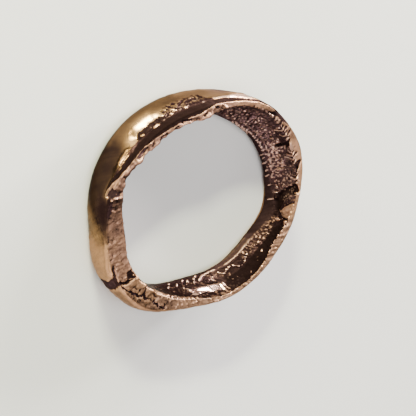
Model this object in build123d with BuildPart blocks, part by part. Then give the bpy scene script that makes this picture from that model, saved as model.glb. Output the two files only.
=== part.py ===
from build123d import *

import os
from collections import namedtuple
from math import cos, radians, sin

# A cast bronze finger ring in one piece, lying on its side.
# The flat back edge rests on the plane Z = 0 and the ring's axis is +Z, through the origin.
# Angles run round the ring from +X towards +Y. Lengths are in millimetres.

# Sizes that can be set by themselves
finger_radius = 10.0     # the mean circle of the finger hole
band_width = 5.2         # from the flat back edge to the worn front lip
wall = 2.0               # mean thickness of the metal
gouge_width = 0.8        # the widest casting gouge, across its middle

# Each half of the band is lofted on through this many more rows past both of its ends,
# so that the halves meet smoothly
overlap = 3

# One row for each section of the band, taken in the plane through the ring's axis.
# The plain columns are distances outward from the finger circle, as shares of the wall.
# The columns that end in _up are heights above the back edge, as shares of the band's width.
#   base      the flat back edge, at its inner and its outer corner
#   belly     the middle of the polished outer wall, an arc from the back edge to the shoulder
#   shoulder  the upper end of the polished wall
#   groove    the bottom of the crease between the shoulder and the front lip
#   lip       the front lip, at its outer and its inner edge
#   hollow    the deepest part of the sunken inner wall, an arc from the lip to the crest
#   crest     the worn ridge inside the ring, above the smooth strip along the back edge
Section = namedtuple("Section", "angle base_in base_out belly belly_up shoulder shoulder_up "
                                "groove groove_up lip_out lip_out_up lip_in lip_in_up "
                                "hollow hollow_up crest crest_up")
sections = [Section(*row) for row in (
    # angle base_in base_out belly  up   shoulder up   groove  up   lip_out up   lip_in up   hollow up   crest  up
    (0,    0.10, 0.68,  1.10, 0.46,  1.00, 0.86,  0.97, 0.92,  0.90, 0.99,  0.62, 1.00,  0.66, 0.69,  0.28, 0.33),
    (15,  -0.05, 0.78,  1.25, 0.46,  1.20, 0.86,  1.17, 0.92,  1.10, 0.99,  0.55, 1.00,  0.68, 0.67,  -0.02, 0.31),
    (30,  -0.25, 0.80,  1.37, 0.48,  1.32, 0.86,  1.30, 0.92,  1.24, 0.99,  0.55, 0.99,  0.62, 0.65,  -0.17, 0.31),
    (45,  -0.40, 0.75,  1.30, 0.48,  1.27, 0.86,  1.24, 0.92,  1.17, 0.99,  0.70, 0.99,  0.52, 0.65,  -0.30, 0.31),
    (60,  -0.50, 0.70,  1.24, 0.48,  1.21, 0.86,  1.19, 0.91,  1.15, 1.00,  0.75, 1.00,  0.45, 0.65,  -0.47, 0.31),
    (75,  -0.48, 0.68,  1.06, 0.44,  1.02, 0.83,  0.90, 0.88,  0.90, 1.04,  0.57, 1.04,  0.30, 0.65,  -0.45, 0.31),
    (90,  -0.40, 0.60,  0.96, 0.40,  0.86, 0.81,  0.70, 0.84,  0.72, 1.08,  0.27, 1.08,  0.10, 0.65,  -0.35, 0.31),
    (105, -0.35, 0.62,  0.97, 0.38,  0.82, 0.79,  0.60, 0.80,  0.65, 1.10,  0.00, 1.09,  0.05, 0.65,  -0.30, 0.31),
    (120, -0.25, 0.74,  1.08, 0.37,  0.90, 0.80,  0.67, 0.79,  0.72, 1.08,  0.20, 1.07,  0.10, 0.65,  -0.20, 0.31),
    (135, -0.15, 0.85,  1.22, 0.37,  1.04, 0.81,  0.78, 0.77,  0.84, 1.05,  0.32, 1.04,  0.20, 0.62,  -0.10, 0.31),
    (150, -0.05, 1.08,  1.40, 0.37,  1.08, 0.81,  0.82, 0.77,  0.87, 0.98,  0.44, 0.97,  0.30, 0.58,  0.00, 0.29),
    (165, 0.00,  1.17,  1.50, 0.38,  1.30, 0.82,  1.08, 0.79,  1.17, 0.94,  0.57, 0.93,  0.40, 0.58,  0.05, 0.29),
    (180, 0.00,  1.14,  1.48, 0.39,  1.43, 0.85,  1.35, 0.87,  1.30, 0.93,  0.28, 0.92,  0.30, 0.58,  0.05, 0.29),
    (195, 0.05,  1.16,  1.50, 0.42,  1.48, 0.87,  1.45, 0.90,  1.40, 0.96,  0.20, 0.96,  0.25, 0.58,  0.05, 0.29),
    (210, 0.15,  1.45,  1.78, 0.42,  1.65, 0.85,  1.62, 0.88,  1.55, 0.96,  0.43, 0.98,  0.32, 0.58,  0.15, 0.29),
    (225, 0.32,  1.52,  1.88, 0.46,  1.70, 0.85,  1.62, 0.88,  1.50, 0.96,  0.40, 1.00,  0.38, 0.58,  0.30, 0.29),
    (240, 0.42,  1.40,  1.84, 0.50,  1.66, 0.83,  1.50, 0.88,  1.32, 0.95,  0.31, 1.00,  0.37, 0.62,  0.40, 0.27),
    (255, 0.22,  0.88,  1.24, 0.48,  1.12, 0.85,  1.03, 0.90,  0.90, 0.98,  0.20, 1.00,  0.36, 0.65,  0.20, 0.24),
    (270, -0.03, 0.55,  1.02, 0.48,  0.88, 0.85,  0.80, 0.90,  0.68, 0.99,  0.18, 1.00,  0.32, 0.66,  -0.05, 0.21),
    (285, -0.05, 0.60,  1.07, 0.48,  0.92, 0.85,  0.85, 0.90,  0.74, 0.99,  0.40, 1.00,  0.45, 0.67,  -0.12, 0.27),
    (300, -0.03, 0.60,  1.10, 0.48,  0.95, 0.85,  0.88, 0.90,  0.76, 0.99,  0.40, 1.00,  0.60, 0.67,  -0.05, 0.37),
    (315, -0.05, 0.56,  1.08, 0.48,  0.93, 0.85,  0.85, 0.90,  0.73, 0.99,  0.35, 1.00,  0.63, 0.69,  -0.03, 0.40),
    (330, 0.10,  0.60,  1.08, 0.48,  0.93, 0.85,  0.85, 0.90,  0.73, 0.99,  0.00, 1.00,  0.58, 0.69,  0.08, 0.42),
    (345, 0.38,  0.65,  1.10, 0.48,  0.98, 0.85,  0.94, 0.91,  0.84, 0.99,  0.35, 1.00,  0.62, 0.71,  0.55, 0.44),
)]

# One row for each gouge, a spindle-shaped bite that runs from one point to another.
# The angles are round the ring, out is outward from the finger circle as shares of the wall,
# up is a height as shares of the band's width, and thick is the spindle's widest diameter
# as a share of the widest gouge.
Gouge = namedtuple("Gouge", "angle_from out_from up_from angle_to out_to up_to thick")
gouges = [Gouge(*row) for row in (
    # from: angle out  up    to: angle out  up    thick
    (33.0,  0.30, 0.97,      30.1, 1.10, 1.03,    0.80),    # deep notch across the lip
    (19.3,  1.25, 1.01,      16.2, 0.38, 1.01,    0.60),    # slanting cut across the lip
    (8.0,   0.10, 0.88,      4.8,  0.86, 1.03,    1.60),    # scalloped hollow behind the lip
    (1.0,   0.05, 0.76,      3.5,  0.72, 0.98,    1.40),    # its lower arm
    (347.5, 0.12, 0.96,      345.0, 0.60, 1.03,   0.80),    # small bite in the lip's inner edge
    (205.5, 1.10, 0.99,      212.5, 1.20, 0.98,   0.80),    # crack along the broad face
    (208.0, 1.90, 0.80,      219.5, 1.50, 0.93,   1.60),    # torn hollow at its outer end
    (219.5, 1.34, 0.98,      225.5, 1.14, 0.98,   0.80),    # the chain of cracks that goes on
    (227.5, 1.20, 0.98,      233.0, 1.02, 0.98,   0.75),
    (226.5, 0.66, 1.01,      232.5, 0.84, 1.00,   0.70),
    (238.0, 0.98, 0.98,      247.0, 1.10, 0.98,   0.75),
    (212.0, 0.56, 1.01,      219.5, 0.86, 1.00,   1.20),    # pit beside the broad face
)]


def at(angle, out, up):
    """A point of the ring: shares of the wall out from the finger circle and of the width up."""
    radius = finger_radius + out * wall
    return Vector(radius * cos(radians(angle)), radius * sin(radians(angle)), up * band_width)


def section_face(s):
    """The closed outline of one section, in the plane through the ring's axis."""
    base_in, base_out = at(s.angle, s.base_in, 0), at(s.angle, s.base_out, 0)
    belly = at(s.angle, s.belly, s.belly_up)
    shoulder = at(s.angle, s.shoulder, s.shoulder_up)
    groove = at(s.angle, s.groove, s.groove_up)
    lip_out, lip_in = at(s.angle, s.lip_out, s.lip_out_up), at(s.angle, s.lip_in, s.lip_in_up)
    hollow = at(s.angle, s.hollow, s.hollow_up)
    crest = at(s.angle, s.crest, s.crest_up)
    outward = Vector(cos(radians(s.angle)), sin(radians(s.angle)), 0)
    plane = Plane(origin=(0, 0, 0), x_dir=outward, z_dir=outward.cross(Vector(0, 0, 1)))
    to_plane = plane.to_local_coords
    with BuildSketch(plane) as sketch:
        with BuildLine():
            Line(to_plane(base_in), to_plane(base_out))
            ThreePointArc(to_plane(base_out), to_plane(belly), to_plane(shoulder))
            Line(to_plane(shoulder), to_plane(groove))
            Line(to_plane(groove), to_plane(lip_out))
            Line(to_plane(lip_out), to_plane(lip_in))
            ThreePointArc(to_plane(lip_in), to_plane(hollow), to_plane(crest))
            Line(to_plane(crest), to_plane(base_in))
        make_face()
    return sketch.sketch.face()


def spindle(gouge):
    """Two equal cones, base to base, along the line between the gouge's two ends."""
    start = at(gouge.angle_from, gouge.out_from, gouge.up_from)
    end = at(gouge.angle_to, gouge.out_to, gouge.up_to)
    along = end - start
    half, thick = along.length / 2, gouge.thick * gouge_width / 2
    across = Plane(origin=start, z_dir=along).x_dir
    with BuildPart() as bite:
        with BuildSketch(Plane(origin=start, x_dir=across, z_dir=across.cross(along))):
            with BuildLine():
                Polyline((0, 0), (thick, half), (0, 2 * half), close=True)
            make_face()
        revolve(axis=Axis(start, along))
    return bite.part


faces = [section_face(s) for s in sections]
half_count = len(sections) // 2
quarter_count = len(sections) // 4


def half_band(first):
    """Half of the band, lofted past both of its ends and cut back in the plane of row first."""
    run = [faces[(first + step) % len(faces)] for step in range(-overlap, half_count + overlap + 1)]
    middle = radians(sections[(first + quarter_count) % len(sections)].angle)
    with BuildPart() as half:
        loft(run)
        split(bisect_by=Plane(origin=(0, 0, 0), z_dir=(cos(middle), sin(middle), 0)), keep=Keep.TOP)
    return half.part


with BuildPart() as ring:
    add(half_band(quarter_count))
    add(half_band(quarter_count + half_count))
    for gouge in gouges:
        add(spindle(gouge), mode=Mode.SUBTRACT)

ring.part.label = "ring"
os.makedirs("parts", exist_ok=True)
export_step(ring.part, "parts/ring.step")
print("ring: volume", round(ring.part.volume, 1), "mm3, size", ring.part.bounding_box().size)
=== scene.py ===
from collections import namedtuple
from math import radians

import bmesh
import bpy
import numpy as np
from bpy.props import FloatProperty, FloatVectorProperty, PointerProperty
from mathutils import Matrix, Vector, noise


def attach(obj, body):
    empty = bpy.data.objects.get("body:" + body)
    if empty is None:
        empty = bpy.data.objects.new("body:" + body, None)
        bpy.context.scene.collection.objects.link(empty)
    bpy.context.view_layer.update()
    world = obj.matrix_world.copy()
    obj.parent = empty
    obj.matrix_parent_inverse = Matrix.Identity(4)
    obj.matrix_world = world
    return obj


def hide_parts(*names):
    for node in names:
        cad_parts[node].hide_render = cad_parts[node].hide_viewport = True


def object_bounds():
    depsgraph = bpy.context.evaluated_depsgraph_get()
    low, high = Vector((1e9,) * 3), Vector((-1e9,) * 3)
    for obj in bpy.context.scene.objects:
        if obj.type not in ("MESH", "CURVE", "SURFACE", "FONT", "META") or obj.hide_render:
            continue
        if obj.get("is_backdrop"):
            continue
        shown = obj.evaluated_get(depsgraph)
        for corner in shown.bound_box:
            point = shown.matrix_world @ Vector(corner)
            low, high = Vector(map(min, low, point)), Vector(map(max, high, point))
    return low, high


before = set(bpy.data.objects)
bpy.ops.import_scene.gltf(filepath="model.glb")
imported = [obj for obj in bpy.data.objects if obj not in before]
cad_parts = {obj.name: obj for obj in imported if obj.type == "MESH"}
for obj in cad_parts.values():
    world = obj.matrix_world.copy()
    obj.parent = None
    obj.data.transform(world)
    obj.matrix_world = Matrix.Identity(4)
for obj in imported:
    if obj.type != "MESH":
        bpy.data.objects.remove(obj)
cad_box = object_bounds()

bl_info = {
    "name": "Rough-Cast Bronze Ring",
    "version": (1, 0, 0),
    "blender": (4, 5, 0),
    "location": "3D View > Sidebar > Bronze Ring",
    "description": "A worn, rough-cast bronze finger ring lying on a pale studio floor",
    "category": "Add Mesh",
}

MM = 0.001
FAR = 1e9

# The band's sections
# One row for each section of the band, every 15 degrees round the ring from +X towards +Y.
# Plain columns are distances outward from the finger circle, in hundredths of the wall.
# Columns that end in _up are heights above the back edge, in hundredths of the band's width.
COLUMNS = ("angle base_in base_out belly belly_up shoulder shoulder_up groove groove_up "
           "lip_out lip_out_up lip_in lip_in_up hollow hollow_up crest crest_up")
SECTIONS = (
    (0,    10,  68,  110,  46,  100,  86,   97,  92,   90,  99,   62, 100,   66,  69,   28,  33),
    (15,   -5,  78,  125,  46,  120,  86,  117,  92,  110,  99,   55, 100,   68,  67,   -2,  31),
    (30,  -25,  80,  137,  48,  132,  86,  130,  92,  124,  99,   55,  99,   62,  65,  -17,  31),
    (45,  -40,  75,  130,  48,  127,  86,  124,  92,  117,  99,   70,  99,   52,  65,  -30,  31),
    (60,  -50,  70,  124,  48,  121,  86,  119,  91,  115, 100,   75, 100,   45,  65,  -47,  31),
    (75,  -48,  68,  106,  44,  102,  83,   90,  88,   90, 104,   57, 104,   30,  65,  -45,  31),
    (90,  -40,  60,   96,  40,   86,  81,   70,  84,   72, 108,   27, 108,   10,  65,  -35,  31),
    (105, -35,  62,   97,  38,   82,  79,   60,  80,   65, 110,    0, 109,    5,  65,  -30,  31),
    (120, -25,  74,  108,  37,   90,  80,   67,  79,   72, 108,   20, 107,   10,  65,  -20,  31),
    (135, -15,  85,  122,  37,  104,  81,   78,  77,   84, 105,   32, 104,   20,  62,  -10,  31),
    (150,  -5, 108,  140,  37,  108,  81,   82,  77,   87,  98,   44,  97,   30,  58,    0,  29),
    (165,   0, 117,  150,  38,  130,  82,  108,  79,  117,  94,   57,  93,   40,  58,    5,  29),
    (180,   0, 114,  148,  39,  143,  85,  135,  87,  130,  93,   28,  92,   30,  58,    5,  29),
    (195,   5, 116,  150,  42,  148,  87,  145,  90,  140,  96,   20,  96,   25,  58,    5,  29),
    (210,  15, 145,  178,  42,  165,  85,  162,  88,  155,  96,   43,  98,   32,  58,   15,  29),
    (225,  32, 152,  188,  46,  170,  85,  162,  88,  150,  96,   40, 100,   38,  58,   30,  29),
    (240,  42, 140,  184,  50,  166,  83,  150,  88,  132,  95,   31, 100,   37,  62,   40,  27),
    (255,  22,  88,  124,  48,  112,  85,  103,  90,   90,  98,   20, 100,   36,  65,   20,  24),
    (270,  -3,  55,  102,  48,   88,  85,   80,  90,   68,  99,   18, 100,   32,  66,   -5,  21),
    (285,  -5,  60,  107,  48,   92,  85,   85,  90,   74,  99,   40, 100,   45,  67,  -12,  27),
    (300,  -3,  60,  110,  48,   95,  85,   88,  90,   76,  99,   40, 100,   60,  67,   -5,  37),
    (315,  -5,  56,  108,  48,   93,  85,   85,  90,   73,  99,   35, 100,   63,  69,   -3,  40),
    (330,  10,  60,  108,  48,   93,  85,   85,  90,   73,  99,    0, 100,   58,  69,    8,  42),
    (345,  38,  65,  110,  48,   98,  85,   94,  91,   84,  99,   35, 100,   62,  71,   55,  44),
)
# The corners between the skin's strips, in order, and the steps across each strip.
CORNERS = ("base_in", "base_out", "shoulder", "groove", "lip_out", "lip_in", "crest")
STRIPS = {"base": 5, "wall": 28, "crease": 6, "bank": 9, "lip": 16, "hollow": 34, "strip": 12}
ACROSS = sum(STRIPS.values())
# The points round the ring, and how many of them the spin itself makes.
AROUND = 896
SPIN_STEPS = 56
# For each corner, how far wear reaches over the strips beside it, and how strong it is.
WEAR = ((0.4, 0.25), (0.12, 0.25), (0.85, 0.95), (0.3, 0.2), (0.25, 0.12), (0.15, 0.1), (0.12, 0.25))
WEAR_PASSES = 90
# Brush strokes and casting lines lean: degrees round the ring for each millimetre across the skin.
LEAN = 2.8
# The edges of textures and stains wander: degrees round the ring, and shares of a strip across it.
WANDER = 3.0
TEXTURE_SWAY, STAIN_SWAY = 0.10, 0.05
# How softly a texture ends, in degrees and in shares of a strip, and where it is too faint to count.
TEXTURE_FADE, TEXTURE_SOFT, FAINT = 3.0, 0.12, 0.003
# A mark's line is read so many times for each of its places. Its reach in widths is turned into
# degrees on the ring's smallest circle, in millimetres, with some to spare.
SAMPLES = 12
REACH, SMALLEST_CIRCLE, SPARE = 4.0, 9.0, 1.3


def smooth(x, low, high):
    """0 below low, 1 above high, with an S-shaped step between them."""
    t = np.clip((x - low) / (high - low), 0.0, 1.0)
    return t * t * (3.0 - 2.0 * t)


def window(x, low, high, soft):
    """1 between low and high, fading to 0 over soft on either side."""
    return smooth(x, low - soft, low) * (1.0 - smooth(x, high, high + soft))


def turned(angle, middle):
    """How far each angle lies from the middle one, in degrees, the short way round."""
    return (angle - middle + 180.0) % 360.0 - 180.0


def arc_window(angle, start, end, soft):
    """A window round the ring, in degrees. It may run through 0."""
    half = ((end - start) % 360.0) / 2.0
    return 1.0 - smooth(np.abs(turned(angle, start + half)), half, half + soft)


def round_spline(values, angle):
    """A closed cubic curve through equally spaced values, read at each angle in degrees."""
    count = len(values)
    one = np.eye(count)
    matrix = 4.0 * one + np.roll(one, 1, 0) + np.roll(one, -1, 0)
    bend = np.linalg.solve(matrix, 6.0 * (np.roll(values, -1) - 2.0 * values + np.roll(values, 1)))
    place = (angle % 360.0) / (360.0 / count)
    low = np.floor(place).astype(int) % count
    high = (low + 1) % count
    t = place - np.floor(place)
    s = 1.0 - t
    return (s * values[low] + t * values[high]
            + ((s ** 3 - s) * bend[low] + (t ** 3 - t) * bend[high]) / 6.0)


def blur(grid, along, over):
    """A grid averaged with its neighbours, so many times along the ring and over its section."""
    for steps, axis in ((along, 0), (over, 1)):
        for _ in range(steps):
            grid = 0.5 * grid + 0.25 * (np.roll(grid, 1, axis) + np.roll(grid, -1, axis))
    return grid


def field(points, scale=1.0, read=noise.noise, settings=()):
    """A noise read at every point, finer as its scale grows."""
    values = [read(Vector(p) * scale, *settings) for p in points.reshape(-1, 3)]
    return np.array(values).reshape(points.shape[:-1])


def clouds(points, scale=1.0):
    """A noise in three sizes, each half as large and half as strong as the one before."""
    return field(points, scale, noise.fractal, (1.0, 2.0, 3))


class Band:
    """The band's skin as a grid: around the ring, and across its section."""

    def __init__(self, sizes):
        self.sizes = sizes
        self.angle = np.arange(AROUND) * 360.0 / AROUND
        table = np.array(SECTIONS, float) / 100.0
        self.column = {name: round_spline(table[:, k], self.angle)
                       for k, name in enumerate(COLUMNS.split()) if k}
        self.across = np.concatenate([k + np.arange(steps) / steps
                                      for k, steps in enumerate(STRIPS.values())])
        self.section = self.outline()
        self.round_corners()
        self.place()

    def corner(self, name):
        """Radius and height, in millimetres, of one corner all round the ring."""
        out = self.sizes.finger_radius / MM + self.column[name] * self.sizes.wall / MM
        up = self.column.get(name + "_up")
        up = np.zeros_like(out) if up is None else up * self.sizes.band_width / MM
        return np.stack([out, up], -1)

    def outline(self):
        """Radius and height, in millimetres, of every point of every section."""
        corners = [self.corner(name) for name in CORNERS]
        bulge = {"wall": self.corner("belly"), "hollow": self.corner("hollow")}
        runs = []
        for k, (name, steps) in enumerate(STRIPS.items()):
            start, end = corners[k][:, None, :], corners[(k + 1) % len(corners)][:, None, :]
            t = (np.arange(steps) / steps)[None, :, None]
            if name in bulge:
                middle = bulge[name][:, None, :]
                near = np.linalg.norm(middle - start, axis=-1, keepdims=True)
                far = np.linalg.norm(end - middle, axis=-1, keepdims=True)
                m = near / (near + far)
                run = (start * (t - m) * (t - 1.0) / m + middle * t * (t - 1.0) / (m * (m - 1.0))
                       + end * t * (t - m) / (1.0 - m))
            else:
                run = start * (1.0 - t) + end * t
            runs.append(run)
        return np.concatenate(runs, 1)

    def round_corners(self):
        """Wears the section's corners round: most at the shoulder, least at the lip's edges."""
        wear = np.zeros(ACROSS)
        half = len(STRIPS) / 2.0
        for corner, (reach, strength) in enumerate(WEAR):
            away = np.abs((self.across - corner + half) % len(STRIPS) - half)
            wear = np.maximum(wear, strength * (1.0 - smooth(away, 0.3 * reach, reach)))
        for _ in range(WEAR_PASSES):
            middle = (np.roll(self.section, 1, 1) + np.roll(self.section, -1, 1)) / 2.0
            self.section = self.section + wear[None, :, None] * (middle - self.section)

    def place(self):
        """Where every point of the plain skin is."""
        turn = np.radians(self.angle)[:, None]
        r, z = self.section[..., 0], self.section[..., 1]
        self.points = np.stack([r * np.cos(turn), r * np.sin(turn), z], -1)

    def read(self, grid, angle, across):
        """A grid's value at one place on the skin."""
        u = (angle % 360.0) * AROUND / 360.0
        i, t = int(u) % AROUND, u % 1.0
        row = (1.0 - t) * grid[i] + t * grid[(i + 1) % AROUND]
        stops = np.append(self.across, len(STRIPS))
        v = np.interp(across % len(STRIPS), stops, np.arange(ACROSS + 1))
        j, t = int(v) % ACROSS, v % 1.0
        return (1.0 - t) * row[j] + t * row[(j + 1) % ACROSS]

    def mark(self, mark, rest, normals):
        """How strongly one mark shows at every point: 1 along its line, fading over its width."""
        stops = np.arange(len(mark.places))
        t = np.linspace(0, stops[-1], SAMPLES * len(stops))
        angle = np.interp(t, stops, np.unwrap(mark.places[:, 0], period=360.0))
        line = list(zip(angle, np.interp(t, stops, mark.places[:, 1])))
        spread = np.ptp(angle) / 2.0 + np.degrees(REACH * mark.width / SMALLEST_CIRCLE)
        near = np.abs(turned(self.angle, angle[len(line) // 2])) <= spread * SPARE
        points, outward = rest[near], normals[near]
        best = np.full(points.shape[:2], FAR)
        for place in line:
            away = np.linalg.norm(points - self.read(rest, *place), axis=-1)
            # skin that faces the other way is behind the mark, however near it is
            away = np.where(outward @ self.read(normals, *place) > -0.2, away, FAR)
            best = np.minimum(best, away)
        # the edge is ragged, and less so on marks wider than 0.15 mm
        best *= 1.0 + 0.55 * min(1.0, (0.15 / mark.width) ** 3) * field(points, 2.6)
        cut = np.zeros(rest.shape[:2])
        cut[near] = np.exp(-(best / mark.width) ** 2)
        return cut

    def area(self, area, flat, ragged):
        """How far an area covers every point: 1 inside its outline, fading over its soft edge."""
        places = area.places.copy()
        places[:, 0] = np.unwrap(places[:, 0], period=360.0)
        runs = zip(places, np.roll(places, -1, 0))
        places = np.concatenate([np.linspace(a, b, 2 + int(abs(b[0] - a[0]) / 3.0))[:-1]
                                 for a, b in runs])
        middle = (places[:, 0].min() + places[:, 0].max()) / 2.0
        arc = radians(self.sizes.finger_radius * 1.1 / MM)
        corners = [((a - middle) * arc, self.read(flat, a, c)) for a, c in places]
        away = turned(self.angle, middle)
        near = np.abs(away) <= np.ptp(places[:, 0]) / 2.0 + (area.soft + 0.2) / arc
        y = flat[near]
        x = (away[near] * arc)[:, None] + 0.0 * y
        inside, distance = np.zeros(x.shape, bool), np.full(x.shape, FAR)
        for (x0, y0), (x1, y1) in zip(corners, corners[1:] + corners[:1]):
            run, rise = x1 - x0, y1 - y0
            t = ((x - x0) * run + (y - y0) * rise) / (run * run + rise * rise + 1e-12)
            t = np.clip(t, 0.0, 1.0)
            distance = np.minimum(distance, np.hypot(x - x0 - t * run, y - y0 - t * rise))
            if rise:
                inside ^= ((y0 > y) != (y1 > y)) & (x < x0 + run * (y - y0) / rise)
        cover = np.zeros(flat.shape)
        edge = np.where(inside, distance, -distance) + 0.10 * ragged[near]
        cover[near] = smooth(edge, -area.soft / 2.0, area.soft / 2.0)
        return cover

    def lean(self, rest):
        """The way across the skin, the slanting way along it, and the frame of the brush strokes."""
        steps = np.linalg.norm(np.diff(rest, axis=1, prepend=rest[:, :1]), axis=-1)
        flat = np.cumsum(steps, 1)
        turn = np.radians(self.angle[:, None] + LEAN * flat)
        radius = self.sizes.finger_radius / MM
        brush = np.stack([radius * np.cos(turn), radius * np.sin(turn), 0.15 * flat], -1)
        return flat, radius * turn, brush

    def relief(self, rest, normals):
        """How far every point stands out of the plain skin, in millimetres."""
        height = np.zeros(rest.shape[:2])
        flat, along, self.brush = self.lean(rest)
        ragged = field(rest, 2.2)
        self.covers = [self.area(area, flat, ragged) for area in AREAS]
        warp = field(rest, 0.9)
        angle = self.angle[:, None] + WANDER * warp
        across = self.across[None, :] + TEXTURE_SWAY * warp
        for t in TEXTURES:
            mask = arc_window(angle, t.start, t.end, TEXTURE_FADE)
            mask = mask * window(across, t.low, t.high, TEXTURE_SOFT)
            if t.high - t.low == len(STRIPS):
                mask = np.ones_like(mask)
            there = mask > FAINT
            value = t.kind(rest[there] / t.grain, self.brush[there] / t.grain, along[there] / t.grain)
            height[there] += t.depth * mask[there] * value
        for area, cover in zip(AREAS, self.covers):
            height = height * (1.0 - area.calm * cover) - area.depth * cover
        self.marked = np.zeros_like(height)
        for mark in MARKS:
            cut = self.mark(mark, rest, normals)
            height -= mark.depth * cut
            self.marked += mark.dark * np.minimum(1.0, 1.4 * cut)
        return height

    def normals(self):
        """The way out of the plain skin at every point."""
        p = self.points
        along = np.roll(p, -1, 0) - np.roll(p, 1, 0)
        over = np.roll(p, -1, 1) - np.roll(p, 1, 1)
        n = np.cross(over, along)
        n /= np.maximum(np.linalg.norm(n, axis=-1, keepdims=True), 1e-9)
        middle = p.mean(1, keepdims=True)
        return n if ((p - middle) * n).sum(-1).mean() > 0 else -n


def rows(kind, table):
    """A table's rows by name. The last name takes all places, each an angle and a place across."""
    count = len(kind._fields) - 1
    return [kind(*row[:count], np.array(row[count:], float).reshape(-1, 2)) for row in table]


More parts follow.
